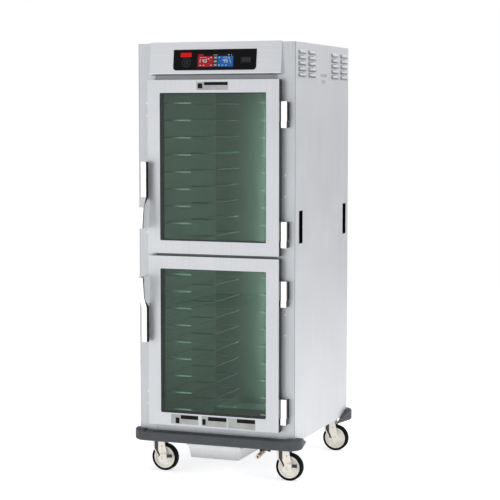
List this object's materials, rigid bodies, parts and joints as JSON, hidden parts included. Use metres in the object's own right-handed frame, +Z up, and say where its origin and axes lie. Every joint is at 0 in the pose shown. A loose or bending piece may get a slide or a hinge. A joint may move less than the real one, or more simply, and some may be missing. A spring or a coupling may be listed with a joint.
{
  "type": "proofing cabinet",
  "caption": "Tall insulated holding and proofing cabinet with split glazed doors, top controls, wire pan slides, drip pan, bumpers and casters.",
  "frame": {"origin": "on the floor under the middle of the outline, bumpers and closed latch levers included", "axes": "+Z up, +X to the right as seen from the front, +Y towards the back; the doors face -Y"},
  "size_m": [0.792, 0.944, 1.923],
  "materials": {
    "outer_sheet": "satin, fine grain",
    "front_sheet": "satin, fine grain",
    "base_sheet": "dull galvanised",
    "door_sheet": "satin, fine grain",
    "insulation": "mineral wool",
    "liner_sheet": "satin",
    "slide_wire": "bright",
    "black_plastic": "matt black",
    "display": "glossy screen with lit tiles",
    "soft_key": "soft black",
    "circuit_board": "green board",
    "galvanised": "galvanised",
    "element": "heat darkened",
    "bumper_rubber": "dark slate",
    "hinge_metal": "polished",
    "latch_case": "satin",
    "latch_metal": "polished",
    "caster_zinc": "zinc plated",
    "hub_plastic": "cream",
    "tyre": "black",
    "pedal": "plated",
    "pan_plastic": "translucent white",
    "valve_brass": "dull",
    "glass": "clear, faint green",
    "gasket": "matt black"
  },
  "bodies": {
    "cabinet": {"side_panel_left": "outer_sheet", "side_panel_right": "outer_sheet", "back_panel": "outer_sheet", "roof_panel": "outer_sheet", "base_pan": "base_sheet", "face_frame": "front_sheet", "header_fascia": "front_sheet", "wall_insulation": "insulation", "liner_walls": "liner_sheet", "air_panels": "liner_sheet", "wire_slides": "slide_wire", "side_louvers": "outer_sheet", "grip_cups": "black_plastic", "control_bezel": "black_plastic", "display_module": "display", "control_electronics": "circuit_board", "blower_housing": "galvanised", "heating_element": "element", "water_pan": "liner_sheet", "bumpers": "bumper_rubber", "frame_hardware": "hinge_metal", "caster_plates": "caster_zinc", "drain_valve_body": "valve_brass", "power_inlet": "black_plastic", "fasteners": "hinge_metal"},
    "blower_wheel": {"blower_wheel": "galvanised"},
    "power_button": {"power_button": "soft_key"},
    "usb_cover": {"usb_cover": "soft_key"},
    "drip_pan": {"drip_pan": "pan_plastic"},
    "valve_handle": {"drain_valve_handle": "black_plastic"},
    "upper_door": {"upper_door_face": "door_sheet", "upper_door_core": "black_plastic", "upper_door_glass": "glass", "upper_door_seals": "gasket", "upper_hinge_leaves": "hinge_metal", "upper_latch_base": "latch_case"},
    "upper_lever": {"upper_latch_lever": "latch_metal"},
    "upper_bolt": {"upper_latch_bolt": "latch_metal"},
    "lower_door": {"lower_door_face": "door_sheet", "lower_door_core": "black_plastic", "lower_door_glass": "glass", "lower_door_seals": "gasket", "lower_hinge_leaves": "hinge_metal", "lower_latch_base": "latch_case"},
    "lower_lever": {"lower_latch_lever": "latch_metal"},
    "lower_bolt": {"lower_latch_bolt": "latch_metal"},
    "caster_fl": {"caster_fork_fl": "caster_zinc"},
    "wheel_fl": {"wheel_hub_fl": "hub_plastic", "tyre_fl": "tyre"},
    "caster_fr": {"caster_fork_fr": "caster_zinc"},
    "wheel_fr": {"wheel_hub_fr": "hub_plastic", "tyre_fr": "tyre"},
    "caster_bl": {"caster_fork_bl": "caster_zinc"},
    "wheel_bl": {"wheel_hub_bl": "hub_plastic", "tyre_bl": "tyre"},
    "caster_br": {"caster_fork_br": "caster_zinc"},
    "wheel_br": {"wheel_hub_br": "hub_plastic", "tyre_br": "tyre"},
    "brake_fl": {"brake_pedal_fl": "pedal"},
    "brake_fr": {"brake_pedal_fr": "pedal"}
  },
  "joints": [
    {"name": "upper_door_hinge", "type": "hinge", "parent": "cabinet", "child": "upper_door", "pos_m": [0.326, -0.366, 1.377], "axis": [0, 0, 1], "range_deg": [0, 180]},
    {"name": "lower_door_hinge", "type": "hinge", "parent": "cabinet", "child": "lower_door", "pos_m": [0.326, -0.366, 0.605], "axis": [0, 0, 1], "range_deg": [0, 180]},
    {"name": "upper_latch", "type": "hinge", "parent": "upper_door", "child": "upper_lever", "pos_m": [-0.313, -0.434, 1.15], "axis": [1, 0, 0], "range_deg": [0, 18], "stiffness_Nm_per_rad": 3, "springref_deg": -6.88},
    {"name": "lower_latch", "type": "hinge", "parent": "lower_door", "child": "lower_lever", "pos_m": [-0.313, -0.434, 0.8505], "axis": [-1, 0, 0], "range_deg": [0, 18], "stiffness_Nm_per_rad": 3, "springref_deg": -6.88},
    {"name": "upper_bolt_slide", "type": "slide", "parent": "upper_door", "child": "upper_bolt", "axis": [1, 0, 0], "range_m": [0, 0.0091]},
    {"name": "lower_bolt_slide", "type": "slide", "parent": "lower_door", "child": "lower_bolt", "axis": [1, 0, 0], "range_m": [0, 0.0091]},
    {"name": "blower_spin", "type": "hinge", "parent": "cabinet", "child": "blower_wheel", "pos_m": [0, 0.126, 1.82], "axis": [0, 0, 1], "continuous": true},
    {"name": "power_press", "type": "slide", "parent": "cabinet", "child": "power_button", "axis": [0, 0.9912, -0.1322], "range_m": [0, 0.002], "stiffness_N_per_m": 400, "springref_m": -0.0005},
    {"name": "port_cover_hinge", "type": "hinge", "parent": "cabinet", "child": "usb_cover", "pos_m": [0.123, -0.36027, 1.84552], "axis": [0, 0.1322, 0.9912], "range_deg": [-110, 0]},
    {"name": "drip_pan_slide", "type": "slide", "parent": "cabinet", "child": "drip_pan", "axis": [0, -1, 0], "range_m": [0, 0.22]},
    {"name": "drain_valve_turn", "type": "hinge", "parent": "cabinet", "child": "valve_handle", "pos_m": [0.215, -0.35382, 0.13632], "axis": [0, -0.1736, 0.9848], "range_deg": [-90, 0]},
    {"name": "caster_fl_swivel", "type": "hinge", "parent": "cabinet", "child": "caster_fl", "pos_m": [-0.298, -0.296, 0.15], "axis": [0, 0, 1], "continuous": true},
    {"name": "wheel_fl_spin", "type": "hinge", "parent": "caster_fl", "child": "wheel_fl", "pos_m": [-0.267, -0.296, 0.061], "axis": [0, 1, 0], "continuous": true},
    {"name": "caster_fr_swivel", "type": "hinge", "parent": "cabinet", "child": "caster_fr", "pos_m": [0.298, -0.296, 0.15], "axis": [0, 0, 1], "continuous": true},
    {"name": "wheel_fr_spin", "type": "hinge", "parent": "caster_fr", "child": "wheel_fr", "pos_m": [0.329, -0.296, 0.061], "axis": [0, 1, 0], "continuous": true},
    {"name": "caster_bl_swivel", "type": "hinge", "parent": "cabinet", "child": "caster_bl", "pos_m": [-0.298, 0.382, 0.15], "axis": [0, 0, 1], "continuous": true},
    {"name": "wheel_bl_spin", "type": "hinge", "parent": "caster_bl", "child": "wheel_bl", "pos_m": [-0.267, 0.382, 0.061], "axis": [0, 1, 0], "continuous": true},
    {"name": "caster_br_swivel", "type": "hinge", "parent": "cabinet", "child": "caster_br", "pos_m": [0.298, 0.382, 0.15], "axis": [0, 0, 1], "continuous": true},
    {"name": "wheel_br_spin", "type": "hinge", "parent": "caster_br", "child": "wheel_br", "pos_m": [0.329, 0.382, 0.061], "axis": [0, 1, 0], "continuous": true},
    {"name": "brake_fl_pedal", "type": "hinge", "parent": "caster_fl", "child": "brake_fl", "pos_m": [-0.267, -0.327, 0.061], "axis": [0, 1, 0], "range_deg": [0, 15]},
    {"name": "brake_fr_pedal", "type": "hinge", "parent": "caster_fr", "child": "brake_fr", "pos_m": [0.329, -0.327, 0.061], "axis": [0, 1, 0], "range_deg": [0, 15]}
  ],
  "couplings": [
    {"joint": "upper_bolt_slide", "follows": "upper_latch", "m_per_rad": 0.028648},
    {"joint": "lower_bolt_slide", "follows": "lower_latch", "m_per_rad": 0.028648}
  ]
}
